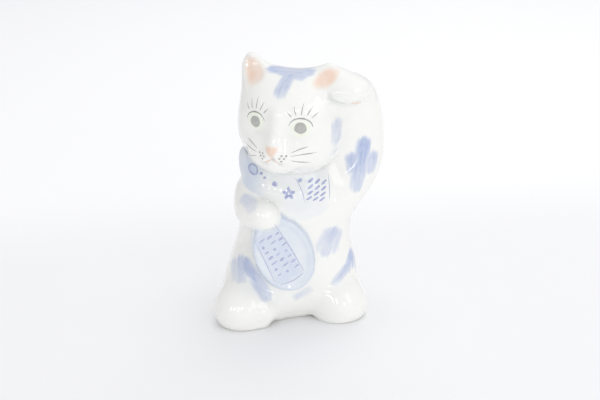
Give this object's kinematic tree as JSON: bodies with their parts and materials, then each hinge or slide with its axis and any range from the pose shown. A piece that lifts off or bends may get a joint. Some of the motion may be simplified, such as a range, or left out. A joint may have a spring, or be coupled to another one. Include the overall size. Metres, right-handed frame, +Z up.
{
  "type": "beckoning cat figurine",
  "caption": "Seated glazed porcelain cat with one forepaw raised over its ear and the other on an oval coin, painted with cobalt brush patches.",
  "frame": {"origin": "middle of the flat base that the figurine rests on", "axes": "+Z up, -Y the way the cat's chest faces, -X the cat's right side"},
  "size_m": [0.0661, 0.0468, 0.0989],
  "materials": {
    "white_glaze": "clear gloss glaze over white porcelain, hand painted",
    "blue_wash_glaze": "clear gloss glaze over a pale cobalt wash",
    "cobalt_painted_glaze": "clear gloss glaze over cobalt brushwork"
  },
  "bodies": {
    "root": {"torso_casting": "white_glaze", "head_casting": "white_glaze", "right_ear": "white_glaze", "left_ear": "white_glaze", "raised_foreleg": "white_glaze", "raised_paw": "white_glaze", "coin_foreleg": "white_glaze", "coin_paw": "white_glaze", "coin": "blue_wash_glaze", "neckerchief": "cobalt_painted_glaze", "right_foot": "white_glaze", "left_foot": "white_glaze", "tail": "white_glaze"}
  },
  "joints": []
}
